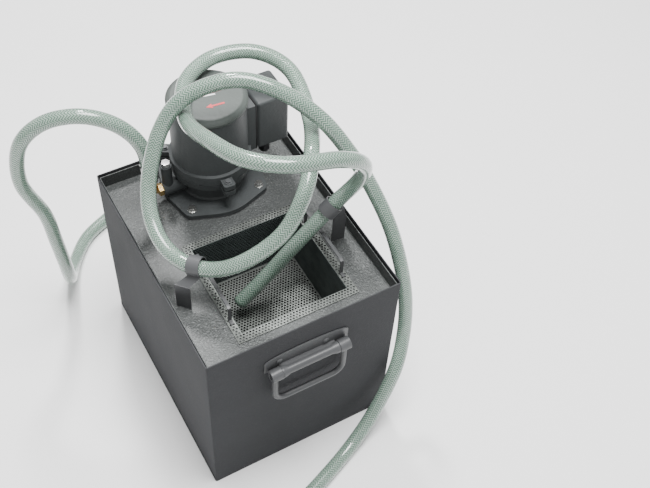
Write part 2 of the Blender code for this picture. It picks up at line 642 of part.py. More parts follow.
# ---------------------------------------------------------------- terminal box
def make_terminal_box():
    y, z = BOX_Y, BOX_Z
    gasket = [rectangle((y[0] + 1, y[1] - 1), (z[0] + 2, z[1] - 2)),
              rectangle((y[0] + 6, y[1] - 6), (z[0] + 8, z[1] - 8))]
    outline("terminal_gasket", gasket, -1.7, -0.3, "black_rubber", turn=(90, 0, 90), at=(BOX_X, 0, 0))
    lid = box("terminal_box_lid", (BOX_X, y[0], z[0]), (BOX_X + BOX_DEPTH, y[1], z[1]), "grey_paint")
    add_bevel(lid, 5.0, 3)
    hollow = box("terminal_hollow", (BOX_X - 5, y[0] + 4.5, z[0] + 6.5), (BOX_X + BOX_DEPTH - 3, y[1] - 4.5, z[1] - 6.5),
                 "steel", CUTTERS)
    cut(lid, hollow)
    cut(lid, disc("gland_hole", 6.0, -20, 20, (GLAND_X, GLAND_Y, z[0]), "steel", CUTTERS, 16))
    screws = ((y[0] + 11.5, z[0] + 13.0), (y[1] - 11.5, z[1] - 13.0))
    for i, (sy, sz) in enumerate(screws):
        spot = (BOX_X + BOX_DEPTH, sy, sz)
        cut(lid, disc(f"terminal_screw_hole_{i}", 2.2, -10, 10, spot, "steel", CUTTERS, 12, "X"))
        head = [(0.0, 2.6), (2.5, 2.6), (4.0, 1.6), (4.0, GAP), (1.9, GAP), (1.9, -8.0), (0.0, -8.0)]
        turned(f"terminal_screw_{i + 1}", head, spot, "zinc_steel", steps=16, axis="X")
    box("terminal_block", (BOX_X + 6, 112.0, 385.0), (BOX_X + 20, 144.0, 425.0), "black_plastic")
    nut = disc("cable_gland", 9.5, -14.0, -6.0, (GLAND_X, GLAND_Y, z[0]), "black_plastic", steps=6)
    body = [(5.6, 8.0), (5.6, -GAP), (8.5, -GAP), (8.5, -8.0), (7.0, -13.0), (7.0, -18.0), (0.0, -18.0)]
    join(nut, turned("gland_body", [(0.0, 8.0)] + body, (GLAND_X, GLAND_Y, z[0]), "black_plastic", CUTTERS, 20))


# ---------------------------------------------------------------- outlet
def make_outlet():
    """The outlet casting on the bracket's left, its priming plug, and the brass elbow up to the hose."""
    y, z = OUTLET_ROOT[1], OUTLET_ROOT[2]
    root = PUMP_X - NECK_R - 0.8
    boss = disc("outlet_boss", 11.5, 0.0, root - ELBOW_X - GAP, (root, y, z), "grey_paint", steps=28, axis="X_BACK")
    join(boss, disc("boss_turret", 8.0, 2.0, TURRET_H, (TURRET_X, y, z), "grey_paint", CUTTERS, 24))
    cut(boss, disc("boss_way", 7.5, -5.0, 50.0, (root, y, z), "steel", CUTTERS, 20, "X_BACK"))
    cut(boss, disc("boss_plug_way", 5.4, 3.0, TURRET_H + 20.0, (TURRET_X, y, z), "steel", CUTTERS, 16))
    plug = disc("priming_plug", 6.8, TURRET_H + GAP, TURRET_H + 7.5, (TURRET_X, y, z), "chrome", steps=6)
    join(plug, disc("priming_stem", 5.0, TURRET_H - 8.0, TURRET_H + 1.0, (TURRET_X, y, z), "chrome", CUTTERS, 16))
    end = Vector(DELIVERY_ROUTE[0])
    start = Vector((ELBOW_X, y, z))
    bend = [start, start + Vector((-5.0, 0.4, 0.0)), start + Vector((-9.5, 1.2, 2.0)), start + Vector((-12.2, 2.0, 6.5)),
            end + Vector((0.2, -1.0, -14.0)), end + Vector((0.0, 0.0, -2.0))]
    elbow = to_mesh(tube("outlet_elbow", bend, 6.0, "brass", resolution=2), "brass")
    join(elbow, disc("elbow_nut", 10.0, 0.0, 6.5, tuple(start), "brass", CUTTERS, 6, "X_BACK"))
    join(elbow, disc("elbow_collar", 8.2, -9.0, -5.0, tuple(end), "brass", CUTTERS, 20))


def make_clamp(name, route, near, opening):
    """A worm-drive band round a hose, with its screw housing."""
    point, along = hose_spot(route, near)
    turn = along.to_track_quat("Z", "Y").to_matrix().to_4x4()
    place = Matrix.Translation(point * MM) @ turn
    band = ring(name, HOSE_R + 0.4, HOSE_R + 1.4, -4.5, 4.5, (0, 0, 0), "chrome", steps=28)
    band.matrix_world = place
    house = box(name + "_house", (-6.0, HOSE_R + 1.0, -5.0), (6.0, HOSE_R + 6.5, 5.0), "chrome", CUTTERS)
    bpy.context.view_layer.update()
    spin = Matrix.Rotation(math.radians(opening), 4, "Z")
    house.matrix_world = place @ spin @ house.matrix_world
    head = disc(name + "_screw", 3.6, 5.0, 10.0, (0, 0, 0), "chrome", CUTTERS, 6, "X")
    bpy.context.view_layer.update()
    lift = Matrix.Translation(Vector((0, HOSE_R + 4.0, 0)) * MM)
    head.matrix_world = place @ spin @ lift @ head.matrix_world
    join(band, house)
    join(band, head)


# ---------------------------------------------------------------- handle
def make_handle():
    y = HANDLE_Y
    half = HANDLE_HALF + 4.0
    arch = [(-half, 254.0), (-half, 275.0)]
    arch += [(half * math.sin(math.radians(a)), 275.0 + 10.0 * math.cos(math.radians(a))) for a in range(-75, 76, 15)]
    arch += [(half, 275.0), (half, 254.0)]
    plate = outline("handle_plate", [arch], GAP, GAP + 2.0, "grey_paint", turn=(90, 0, 0), at=(0, y, 0))
    hinge_y = y - 12.5
    reach = HANDLE_HALF - 17.0
    profile = [(0.0, reach), (8.8, reach), (8.8, reach - 4.0), (6.6, reach - 12.0)]
    profile += [(r, -x) for r, x in reversed(profile)]
    knuckle = turned("handle_knuckle", profile, (0, hinge_y, HANDLE_Z), "grey_paint", CUTTERS, 24, "X")
    join(plate, knuckle)
    web_half = HANDLE_HALF - 18.3
    web = box("handle_web", (-web_half, hinge_y + 0.6, HANDLE_Z - 0.7), (web_half, y - 1.0, HANDLE_Z + 5.0),
              "grey_paint", CUTTERS)
    join(plate, web)
    cut(plate, disc("handle_bore", 4.3, -90, 90, (0, hinge_y, HANDLE_Z), "steel", CUTTERS, 20, "X"))
    disc("handle_pin", 4.0, -HANDLE_HALF + 2.0, HANDLE_HALF - 2.0, (0, hinge_y, HANDLE_Z), "steel", steps=20, axis="X")
    make_bail(hinge_y)
    for i, x in enumerate((-43.0, 30.0)):
        head = [(0.0, 4.4), (3.0, 4.0), (5.0, 2.8), (5.0, 2.3 + GAP), (0.0, 2.3 + GAP)]
        turned(f"handle_rivet_{i + 1}", head, (x, y, 271.0), "grey_paint", steps=16, axis="Y_FRONT")


def make_bail(hinge_y):
    """The U of the handle with an eye at each end, hanging down from its pin."""
    eye = HANDLE_HALF - 16.7
    drop = 66.0
    left = ring("handle_bail", 4.3, 9.5, -HANDLE_HALF, -eye, (0, hinge_y, HANDLE_Z), "grey_paint", steps=24, axis="X")
    right = ring("bail_eye", 4.3, 9.5, eye, HANDLE_HALF, (0, hinge_y, HANDLE_Z), "grey_paint", CUTTERS, 24, "X")
    x = HANDLE_HALF - 7.0
    bottom = HANDLE_Z - drop
    path = [(-x, HANDLE_Z - 7.0), (-x, bottom + 22)]
    path += [(-x + 18 - 18 * math.cos(math.radians(a)), bottom + 18 - 18 * math.sin(math.radians(a)))
             for a in range(15, 91, 15)]
    path += [(-px, pz) for px, pz in reversed(path)]
    rod = tube("bail_rod", [(px, hinge_y, pz) for px, pz in path], 4.6, "grey_paint", CUTTERS, 3)
    rod = to_mesh(rod, "grey_paint", CUTTERS)
    for part in (right, rod):
        join(left, part)
    for ob in (left, right, rod):
        ob.select_set(False)


# ---------------------------------------------------------------- hoses
def make_hose(name, route, coil):
    tube(name, spline_points(route, HOSE_PITCH), HOSE_R, "hose_pvc", resolution=3)
    wound = [(COIL_R - HOSE_R, COIL_H), (COIL_R + HOSE_R, COIL_H), (COIL_R + HOSE_R, 0.2), (COIL_R - HOSE_R, 0.2)]
    turned(name + "_coil", wound, (coil[0], coil[1], 0.0), "hose_pvc", steps=40)


def make_hose_end(name, coil, angle, sense):
    """The brass coupling on a hose's far end, lying inside the coil. `sense` is 1 on a coil wound anticlockwise."""
    a = math.radians(angle)
    out = Vector((math.cos(a), math.sin(a), 0.0))
    along = Vector((-out.y, out.x, 0.0)) * sense
    at = Vector((coil[0], coil[1], 0.0)) + out * COUPLING_AT + Vector((0, 0, COUPLING_R + GAP))
    tail = [(5.5, 24.0), (9.0, 24.0), (9.0, 6.0), (COUPLING_R, 6.0), (COUPLING_R, -6.0), (8.0, -6.0), (8.0, -24.0),
            (5.5, -24.0)]
    ob = turned(name, tail, (0, 0, 0), "brass", steps=20)
    turn = along.to_track_quat("Z", "Y").to_matrix().to_4x4()
    ob.matrix_world = Matrix.Translation(at * MM) @ turn


make_tank_shell()
make_tank_fittings()
make_lid()
make_basket()
make_clip("hose_clip_left", (-127.0, -71.0), (-104.0, -60.0, 368.0), 19.0, 11.0)
make_clip("hose_clip_right", (121.0, -64.0), (113.0, -63.0, 384.0), 19.0, 10.0)
make_pump_mounting()
make_motor()
make_motor_inside()
make_stem()
make_terminal_box()
make_outlet()
make_handle()
make_clamp("delivery_hose_clamp", DELIVERY_ROUTE, (-86.0, 127.0, 364.0), 150.0)
make_hose("drain_hose", DRAIN_ROUTE, DRAIN_COIL)
make_hose("delivery_hose", DELIVERY_ROUTE, DELIVERY_COIL)
make_hose_end("drain_hose_coupling", DRAIN_COIL, 60.0, 1)
make_hose_end("delivery_hose_coupling", DELIVERY_COIL, 60.0, -1)
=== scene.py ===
"""The looks of the coolant tank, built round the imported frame. Lengths are in metres."""

import math

import bmesh
import bpy
from mathutils import Matrix, Vector


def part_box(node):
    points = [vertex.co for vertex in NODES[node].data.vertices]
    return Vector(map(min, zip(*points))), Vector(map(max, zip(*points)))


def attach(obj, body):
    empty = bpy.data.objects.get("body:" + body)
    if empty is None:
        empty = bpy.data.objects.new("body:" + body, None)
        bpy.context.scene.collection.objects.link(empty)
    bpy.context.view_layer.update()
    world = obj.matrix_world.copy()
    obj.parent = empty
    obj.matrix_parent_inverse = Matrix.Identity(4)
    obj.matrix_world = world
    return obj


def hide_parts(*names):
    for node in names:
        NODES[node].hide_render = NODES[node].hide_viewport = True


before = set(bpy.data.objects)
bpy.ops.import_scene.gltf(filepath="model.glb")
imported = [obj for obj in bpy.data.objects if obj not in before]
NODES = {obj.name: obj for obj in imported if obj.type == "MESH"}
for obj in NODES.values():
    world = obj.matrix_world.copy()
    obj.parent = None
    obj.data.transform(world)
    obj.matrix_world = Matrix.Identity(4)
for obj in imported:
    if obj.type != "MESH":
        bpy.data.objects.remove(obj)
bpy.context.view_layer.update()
MM = 0.001

# Hoses
HOSE_R = 0.011
COIL_R = 0.110
LAYER_Z = (0.0112, 0.0334)       # the two layers of turns in a coil
COUPLING_AT = 0.078              # distance of a coupling from its coil's middle
COUPLING_ANGLE = 60.0
COUPLING_HALF = 0.024
COUPLING_Z = 0.0125              # height of a coupling's middle line
LAST_TURN_Z = 0.0126             # height that a coil's last turn comes down to
JOIN_TURN = 50.0                 # degrees in which a hose eases onto its coil's circle
CLIMB_TURN = 80.0                # degrees in which it climbs to the second layer
INWARD_TURN = 112.0              # degrees in which it turns in to its coupling
COIL_STEP = 3.0                  # degrees between the worked-out points of a coil
ROUTE_STEPS = 20                 # points worked out between two points of a route
ROUTE_PITCH = 0.005
HOSE_PITCH = 0.006
HOSE_SIDES = 24
DRAIN_COIL = (-0.100, -0.440)
DELIVERY_COIL = (0.075, 0.3165)

# Routes of the hoses' middles, in millimetres, the same as the CAD source's. The points are the rounded
# output of a least-squares fit, not chosen by hand.
DRAIN_ROUTE = [
    (-35, -52, 226), (14, -54, 273), (54, -60, 324), (109, -60, 376), (137, -80, 437), (127, -100, 491),
    (85, -109, 528), (16, -100, 543), (-28, -64, 542), (-46, -5, 528), (-45, 73, 497), (-15, 144, 492),
    (40, 173, 494), (99, 157, 495), (130, 105, 488), (117, 25, 473), (83, -42, 474), (49, -83, 452),
    (2, -106, 418), (-65, -97, 384), (-109, -58, 369), (-128, -4, 378), (-118, 49, 413), (-82, 81, 481),
    (-40, 82, 528), (22, 63, 548), (72, 28, 536), (113, -13, 503), (145, -43, 449), (167, -65, 398),
    (183, -101, 339), (189, -134, 279), (189, -159, 220), (180, -179, 159), (153, -205, 112),
    (109, -223, 44), (58, -243, 14), (-2, -268, 11.2), (-68, -292, 11.2), (-132, -311, 11.2),
]
DELIVERY_ROUTE = [
    (-86, 126, 352), (-93, 132, 416), (-120, 147, 456), (-163, 168, 473), (-210, 190, 460), (-245, 205, 417),
    (-255, 211, 342), (-234, 206, 268), (-228, 206, 200), (-223, 210, 138), (-218, 225, 79), (-209, 259, 36),
    (-188, 304, 15), (-151, 347, 11.2), (-102, 373, 11.2), (-49, 397, 11.2), (4, 429.5, 11.2),
]

# Perforated sheet
PITCH = 0.0048
HOLE_R = 0.00158
HOLE_SIDES = 12
EDGE_CLEAR = HOLE_R + 0.0003     # least distance from a hole's middle to the sheet's edge
ROW_RISE = PITCH * math.sqrt(3) / 2
CELL_R = PITCH / math.sqrt(3)    # from the middle of a hexagonal cell to its corner
SHEET_T = 0.0012
BASKET_X = (-0.0766, 0.0872)     # the basket's clear opening
BASKET_Y = (-0.148, 0.013)


# ---------------------------------------------------------------- camera
def make_camera():
    data = bpy.data.cameras.new("camera")
    data.sensor_width = 36.0
    data.lens = 55.44
    data.clip_end = 50.0
    cam = bpy.data.objects.new("camera", data)
    bpy.context.scene.collection.objects.link(cam)
    cam.location = (-0.3937, -0.8377, 1.4367)
    cam.rotation_euler = [math.radians(a) for a in (38.878, -2.471, -29.467)]
    bpy.context.scene.camera = cam


make_camera()


# ---------------------------------------------------------------- node materials
class Nodes:
    """Short names for building a Principled material out of nodes."""

    def __init__(self, name):
        self.mat = bpy.data.materials.new(name)
        self.mat.use_nodes = True
        self.tree = self.mat.node_tree
        self.shader = self.tree.nodes["Principled BSDF"]
        self.coord = self.tree.nodes.new("ShaderNodeTexCoord").outputs["Object"]

    def node(self, kind, links=(), **values):
        made = self.tree.nodes.new("ShaderNode" + kind)
        for key, value in values.items():
            if hasattr(made, key):
                setattr(made, key, value)
            else:
                made.inputs[key.replace("_", " ").title()].default_value = value
        for socket, source in dict(links).items():
            self.tree.links.new(source, made.inputs[socket])
        return made

    def noise(self, scale, detail=4.0, roughness=0.55, at=None):
        links = {"Vector": at or self.coord}
        made = self.node("TexNoise", links, Scale=scale, Detail=detail, Roughness=roughness)
        return made.outputs["Fac"]

    def voronoi(self, scale, feature):
        made = self.node("TexVoronoi", {"Vector": self.coord}, Scale=scale, feature=feature)
        return made.outputs["Distance"]

    def remap(self, source, low, high, out_low=0.0, out_high=1.0):
        made = self.node("MapRange", {"Value": source})
        for key, value in (("From Min", low), ("From Max", high), ("To Min", out_low), ("To Max", out_high)):
            made.inputs[key].default_value = value
        return made.outputs["Result"]

    def math(self, operation, a, b=None):
        made = self.node("Math", operation=operation)
        for socket, value in zip(made.inputs, (a, b)):
            if hasattr(value, "links"):
                self.tree.links.new(value, socket)
            elif value is not None:
                socket.default_value = value
        return made.outputs[0]

    def mix(self, share, a, b):
        made = self.node("Mix", data_type="RGBA")
        for socket, value in ((made.inputs[0], share), (made.inputs[6], a), (made.inputs[7], b)):
            if hasattr(value, "links"):
                self.tree.links.new(value, socket)
            else:
                socket.default_value = value if isinstance(value, float) else (*value, 1.0)
        return made.outputs[2]

    def bump(self, height, distance, strength):
        made = self.node("Bump", {"Height": height})
        made.inputs["Strength"].default_value = strength
        made.inputs["Distance"].default_value = distance
        return made.outputs["Normal"]

    def set(self, **values):
        """Values for the shader: a number or colour is set on the socket, an output is linked to it."""
        for key, value in values.items():
            socket = self.shader.inputs[key.replace("_", " ")]
            if hasattr(value, "links"):
                self.tree.links.new(value, socket)
            elif isinstance(value, tuple):
                socket.default_value = (*value, 1.0)
            else:
                socket.default_value = value
        return self.mat


def shade(color, factor):
    return tuple(min(1.0, c * factor) for c in color)


def paint(name, color, roughness=0.5, grain=700.0, depth=0.00025, sparkle=0.25, gloss=0.15):
    """Textured enamel: an uneven orange-peel skin, small bright flecks painted in as sparkle highlights, and
    slight soiling.
    """
    n = Nodes(name)
    soil = n.noise(9.0, 5.0)
    fine = n.noise(grain, 3.0, 0.6)
    peel = n.voronoi(grain * 0.42, "SMOOTH_F1")
    base = n.mix(n.remap(soil, 0.35, 0.7), shade(color, 0.88), shade(color, 1.08))
    # painted highlight: small flecks lifted towards a brighter tone stand in for sparkle glints
    sparkle_glints = n.remap(fine, 0.56, 0.70, 0.0, sparkle)
    base = n.mix(sparkle_glints, base, shade(color, 1.9))
    height = n.math("ADD", n.math("MULTIPLY", fine, 0.6), peel)
    return n.set(
        Base_Color=base,
        Roughness=n.remap(soil, 0.3, 0.75, roughness - 0.06, roughness + 0.1),
        Specular_IOR_Level=gloss,
        Normal=n.bump(height, depth, 0.8),
    )


def hammered(name, color):
    """Hammer-finish enamel: shallow dimples with rims painted brighter as highlight, painted glint specks,
    cloudy and slightly metallic.
    """
    n = Nodes(name)
    cloud = n.noise(14.0, 4.0)
    cells = n.voronoi(430.0, "SMOOTH_F1")
    fine = n.noise(480.0, 3.0, 0.6)
    broad = n.noise(400.0, 2.0)
    base = n.mix(n.remap(cloud, 0.35, 0.68), shade(color, 0.82), shade(color, 1.15))
    # painted highlight: the dimples' rims are lightened as if catching the light
    rim = n.remap(cells, 0.45, 0.75, 0.0, 0.55)
    base = n.mix(rim, base, shade(color, 1.9))
    # painted highlight: small bright specks stand in for glints
    glint_specks = n.remap(fine, 0.54, 0.68, 0.0, 0.55)
    base = n.mix(glint_specks, base, shade(color, 2.6))
    height = n.math("ADD", n.math("MULTIPLY", cells, 0.7), n.math("MULTIPLY", broad, 1.4))
    return n.set(
        Base_Color=base,
        Roughness=n.remap(cloud, 0.3, 0.7, 0.40, 0.54),
        Metallic=0.3,
        Normal=n.bump(height, 0.0008, 0.85),
        Coat_Weight=0.06,
        Coat_Roughness=0.2,
    )


def metal(name, color, roughness, brush=(1.0, 1.0, 12.0), depth=0.00004, metallic=1.0, stain=0.15):
    """Bare or plated metal with fine brushing and faint stains."""
    n = Nodes(name)
    scaled = n.node("Mapping", {"Vector": n.coord})
    scaled.inputs["Scale"].default_value = brush
    lines = n.noise(500.0, 3.0, 0.6, scaled.outputs["Vector"])
    marks = n.noise(45.0, 5.0, 0.6)
    base = n.mix(n.remap(marks, 0.45, 0.75, 0.0, stain * 2), color, shade(color, 0.55))
    return n.set(
        Base_Color=base,
        Roughness=n.remap(marks, 0.3, 0.75, roughness, roughness + 0.14),
        Metallic=metallic,
        Normal=n.bump(lines, depth, 0.7),
    )


def plastic(name, color, roughness):
    """Moulded plastic, rubber or flat paint: slightly uneven, with a fine grain."""
    n = Nodes(name)
    soft = n.noise(60.0, 4.0)
    base = n.mix(soft, shade(color, 0.8), shade(color, 1.25))
    return n.set(Base_Color=base, Roughness=roughness, Normal=n.bump(n.noise(900.0, 2.0), 0.00008, 0.6))


def hose_material(name):
    """Clear green PVC over a knitted reinforcement: rows of small V stitches that run along the hose."""
    n = Nodes(name)
    along = n.node("Attribute", attribute_name="along").outputs["Fac"]
    around = n.node("Attribute", attribute_name="around").outputs["Fac"]
    rows = 8.0                     # rows of stitches round the hose
    stitch = 0.0040                # length of a stitch
    lean = 1.1                     # how far a thread leans from a row's middle to its edge, in stitches
    across = n.math("PINGPONG", n.math("FRACT", n.math("MULTIPLY", around, rows)), 0.5)
    phase = n.math("ADD", n.math("DIVIDE", along, stitch), n.math("MULTIPLY", across, lean * 2.0))
    wave = n.math("PINGPONG", n.math("FRACT", phase), 0.5)
    thread = n.remap(wave, 0.19, 0.31)
    thread = n.math("MULTIPLY", thread, n.remap(n.noise(420.0, 2.0), 0.38, 0.60, 0.65, 1.0))
    cloud = n.noise(28.0, 3.0)
    wall = n.mix(cloud, (0.070, 0.140, 0.100), (0.112, 0.195, 0.145))
    white = n.mix(cloud, (0.40, 0.50, 0.43), (0.55, 0.65, 0.57))
    base = n.mix(n.math("MULTIPLY", thread, 0.8), wall, white)
    return n.set(
        Base_Color=base,
        Roughness=0.16,
        Transmission_Weight=0.22,
        IOR=1.46,
        Subsurface_Weight=0.15,
        Subsurface_Radius=Vector((0.6, 1.0, 0.7)),
        Subsurface_Scale=0.005,
        Coat_Weight=0.8,
        Coat_Roughness=0.05,
        Normal=n.bump(thread, 0.0002, 0.5),
    )


MAT = {
    "grey": paint("enamel_grey", (0.050, 0.051, 0.054), 0.62, gloss=0.04),
    "lid": hammered("hammered_lid", (0.056, 0.060, 0.059)),
    "motor": paint("enamel_motor", (0.058, 0.063, 0.064), 0.45, 620.0, 0.0002, 0.12, 0.2),
    "cap": paint("enamel_cap", (0.080, 0.092, 0.086), 0.42, 520.0, 0.0002, 0.15, 0.3),
    "zinc": metal("zinc_plate", (0.165, 0.176, 0.165), 0.40, (1.0, 1.0, 1.0), 0.00006, 0.6, 0.5),
    # painted shade: a darker, greener copy of the zinc for the basket's walls
    "shaded_zinc": metal("zinc_plate_painted_shade", (0.075, 0.092, 0.090), 0.46, (1.0, 1.0, 1.0), 0.00006, 0.5, 0.3),
    "screw": metal("zinc_screw", (0.62, 0.62, 0.60), 0.22, (1.0, 1.0, 1.0)),
    "chrome": metal("chrome", (0.85, 0.85, 0.84), 0.08, (1.0, 1.0, 1.0), 0.00001, 1.0, 0.05),
    "strap": paint("enamel_strap", (0.075, 0.077, 0.080), 0.4, 800.0, 0.0001, 0.1, 0.35),
    "dull": metal("painted_bolt", (0.10, 0.105, 0.108), 0.4, (1.0, 1.0, 1.0), 0.00004, 0.3),
    "brass": metal("brass", (0.72, 0.50, 0.22), 0.24, (1.0, 1.0, 1.0), 0.00003),
    "rubber": plastic("rubber", (0.022, 0.022, 0.023), 0.62),
    "plastic": plastic("black_plastic", (0.022, 0.022, 0.024), 0.35),
    "iron": paint("cast_iron", (0.06, 0.062, 0.065), 0.55, 350.0, 0.0005, 0.1),
    "steel": metal("machined_steel", (0.48, 0.48, 0.49), 0.28),
    "copper": metal("varnished_core", (0.36, 0.19, 0.10), 0.4),
    "hose": hose_material("braided_hose"),
    "mark": plastic("red_mark", (0.55, 0.03, 0.04), 0.4),
    # painted highlight: a pale colour for the glint strip on the motor's cap
    "cap_glint": plastic("pale_mark", (0.80, 0.81, 0.80), 0.35),
}


# ---------------------------------------------------------------- helpers
def place(ob, mat, body, slot, *stands_for):
    """Link a finished piece, give it its material, and tie it to its body."""
    if not ob.users_collection:
        bpy.context.scene.collection.objects.link(ob)
    ob.data.materials.clear()
    ob.data.materials.append(MAT[mat])
    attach(ob, body)
    if stands_for:
        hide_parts(*stands_for)
    return ob


def mesh_object(name, bm, smooth_angle=None):
    mesh = bpy.data.meshes.new(name)
    bm.to_mesh(mesh)
    bm.free()
    if smooth_angle is not None:
        mesh.shade_smooth()
        mesh.set_sharp_from_angle(angle=math.radians(smooth_angle))
    return bpy.data.objects.new(name, mesh)


def dress(node, mat, bevel):
    """A carried-over CAD node: its material, welded faces, eased edges and smooth round faces."""
    ob = NODES[node]
    ob.data.materials.clear()
    ob.data.materials.append(MAT[mat])
    if "custom_normal" in ob.data.attributes:
        ob.data.attributes.remove(ob.data.attributes["custom_normal"])
    ob.data.shade_smooth()
    weld = ob.modifiers.new("weld", "WELD")
    weld.merge_threshold = 0.00001
    if bevel:
        edges = ob.modifiers.new("ease", "BEVEL")
        edges.width = bevel
        edges.segments = 2
        edges.limit_method = "ANGLE"
        edges.angle_limit = math.radians(32)
        edges.use_clamp_overlap = True
    normals = ob.modifiers.new("normals", "WEIGHTED_NORMAL")
    normals.keep_sharp = True


def spline_points(route, pitch):
    """Points at an even pitch on a smooth curve through the route's points."""
    pts = [Vector(p) * MM for p in route]
    pts = [pts[0] * 2 - pts[1]] + pts + [pts[-1] * 2 - pts[-2]]
    fine = []
    for p0, p1, p2, p3 in zip(pts, pts[1:], pts[2:], pts[3:]):
        for step in range(ROUTE_STEPS):
            t = step / ROUTE_STEPS
            fine.append(0.5 * (2 * p1 + (p2 - p0) * t + (2 * p0 - 5 * p1 + 4 * p2 - p3) * t * t
                               + (3 * p1 - 3 * p2 + p3 - p0) * t ** 3))
    fine.append(pts[-2])
    return even_points(fine, pitch)


def even_points(line, pitch):
    """Points at an even pitch along a line of points, with the same two ends."""
    run = [0.0]
    for a, b in zip(line, line[1:]):
        run.append(run[-1] + (b - a).length)
    count = max(2, round(run[-1] / pitch))
    out = []
    k = 0
    for i in range(count + 1):
        goal = run[-1] * i / count
        while k < len(run) - 2 and run[k + 1] < goal:
            k += 1
        share = (goal - run[k]) / max(run[k + 1] - run[k], 1e-9)
        out.append(line[k].lerp(line[k + 1], min(max(share, 0.0), 1.0)))
    return out


def ease(t):
    """A smooth step from 0 to 1."""
    t = min(max(t, 0.0), 1.0)
    return t * t * (3 - 2 * t)


def coil_points(start, centre, sense, turns):
    """The stored end of a hose: it joins the ring, climbs to a second layer, and ends at its coupling."""
    middle = Vector((centre[0], centre[1], 0.0))
    arm = start - middle
    first = math.degrees(math.atan2(arm.y, arm.x))
    reach = math.hypot(arm.x, arm.y)
    finish_at = COUPLING_ANGLE - sense * math.degrees(COUPLING_HALF / COUPLING_AT)
    whole = ((finish_at - first) * sense) % 360.0 + 360.0 * (turns - 1)
    count = int(whole / COIL_STEP)
    points = []
    for i in range(1, count + 1):
        done = whole * i / count
        radius = reach + (COIL_R - reach) * ease(done / JOIN_TURN)
        high = LAYER_Z[0] + (LAYER_Z[1] - LAYER_Z[0]) * ease((done - 360.0 + CLIMB_TURN) / CLIMB_TURN)
        last = (done - whole + INWARD_TURN) / INWARD_TURN
        radius += (COUPLING_AT - COIL_R) * ease(last / 0.75)
        high += (LAST_TURN_Z - LAYER_Z[1]) * ease((last - 0.35) / 0.65)
        a = math.radians(first + sense * done)
        points.append(middle + Vector((radius * math.cos(a), radius * math.sin(a), high)))
    return points


def tangents_of(points):
    last = len(points) - 1
    return [(points[min(i + 1, last)] - points[max(i - 1, 0)]).normalized() for i in range(len(points))]


def sweep(name, points, radius, sides):
    """A closed round tube along points, with the attributes along (metres) and around (0 to 1)."""
    bm = bmesh.new()
    along_layer = bm.loops.layers.float.new("along")
    around_layer = bm.loops.layers.float.new("around")
    tangents = tangents_of(points)
    side = tangents[0].orthogonal().normalized()
    rows = []
    run = 0.0
    runs = []
    for i, (point, tangent) in enumerate(zip(points, tangents)):
        if i:
            run += (point - points[i - 1]).length
        runs.append(run)
        side = (side - tangent * side.dot(tangent)).normalized()
        other = tangent.cross(side)
        ring = []
        for k in range(sides):
            a = 2 * math.pi * k / sides
            ring.append(bm.verts.new(point + (side * math.cos(a) + other * math.sin(a)) * radius))
        rows.append(ring)
    for i in range(len(rows) - 1):
        for k in range(sides):
            m = (k + 1) % sides
            face = bm.faces.new((rows[i][k], rows[i][m], rows[i + 1][m], rows[i + 1][k]))
            face.smooth = True
            spots = ((i, k), (i, k + 1), (i + 1, k + 1), (i + 1, k))
            for loop, (row, turn) in zip(face.loops, spots):
                loop[along_layer] = runs[row]
                loop[around_layer] = turn / sides
    bm.faces.new(list(reversed(rows[0])))
    bm.faces.new(rows[-1])
    return mesh_object(name, bm)


def lathe(name, profile, at, axis, steps, smooth_angle):
    """A turned ring: the (radius, height) pairs go round the axis, and the last joins the first."""
    bm = bmesh.new()
    turns = [2 * math.pi * k / steps for k in range(steps)]
    rows = [[bm.verts.new((r * math.cos(t), r * math.sin(t), z)) for t in turns] for r, z in profile]
    for a, b in zip(rows, rows[1:] + rows[:1]):
        for k in range(steps):
            m = (k + 1) % steps
            bm.faces.new((a[k], b[k], b[m], a[m]))
    bmesh.ops.recalc_face_normals(bm, faces=bm.faces)
    turn = Vector(axis).to_track_quat("Z", "Y").to_matrix().to_4x4()
    bmesh.ops.transform(bm, matrix=Matrix.Translation(at) @ turn, verts=bm.verts)
    return mesh_object(name, bm, smooth_angle)


# ---------------------------------------------------------------- hoses
def make_hose(name, route, centre, sense, turns):
    """The whole hose, with the points of its middle and the point where it starts."""
    line = spline_points(route, ROUTE_PITCH)
    start = line[0].copy()
    coil = coil_points(line[-1], centre, sense, turns)
    points = even_points(line + coil, HOSE_PITCH)
    hose = sweep(name + "_full", points, HOSE_R, HOSE_SIDES)
    place(hose, "hose", "tank", "hose_pvc", name, name + "_coil")
    return hose, points, start


def make_coupling(name, centre, sense):
    """The brass coupling on a hose's end: a ferrule over the hose, a hexagon and a threaded nose."""
    a = math.radians(COUPLING_ANGLE)
    out = Vector((math.cos(a), math.sin(a), 0.0))
    along = Vector((-out.y, out.x, 0.0)) * sense
    at = Vector((centre[0], centre[1], 0.0)) + out * COUPLING_AT + Vector((0, 0, COUPLING_Z))
    profile = [(0.0055, 0.024), (0.0082, 0.024)]
    for i in range(8):
        z = 0.0232 - i * 0.002
        profile += [(0.0090, z), (0.0082, z - 0.001)]
    profile += [(0.0105, 0.0068), (0.0105, -0.0062), (0.0118, -0.0068), (0.0120, -0.0235), (0.0114, -0.0240),
                (0.0055, -0.0240)]
    body = lathe(name + "_turned", profile, at, along, 32, 32)
    place(body, "brass", "tank", "brass", name)
    flats = [(0.0106, 0.006), (0.0118, 0.006), (0.0122, 0.0052), (0.0122, -0.0052), (0.0118, -0.006),
             (0.0106, -0.006)]
    nut = lathe(name + "_hexagon", flats, at, along, 6, 20)
    place(nut, "brass", "tank", "brass")
    return [body, nut]


def make_hoses():
    kinds = (
        ("drain_hose", DRAIN_ROUTE, DRAIN_COIL, 1, 2),
        ("delivery_hose", DELIVERY_ROUTE, DELIVERY_COIL, -1, 3),
    )
    for name, route, centre, sense, turns in kinds:
        hose, points, start = make_hose(name, route, centre, sense, turns)
        ends = make_coupling(name + "_coupling", centre, sense)


make_hoses()


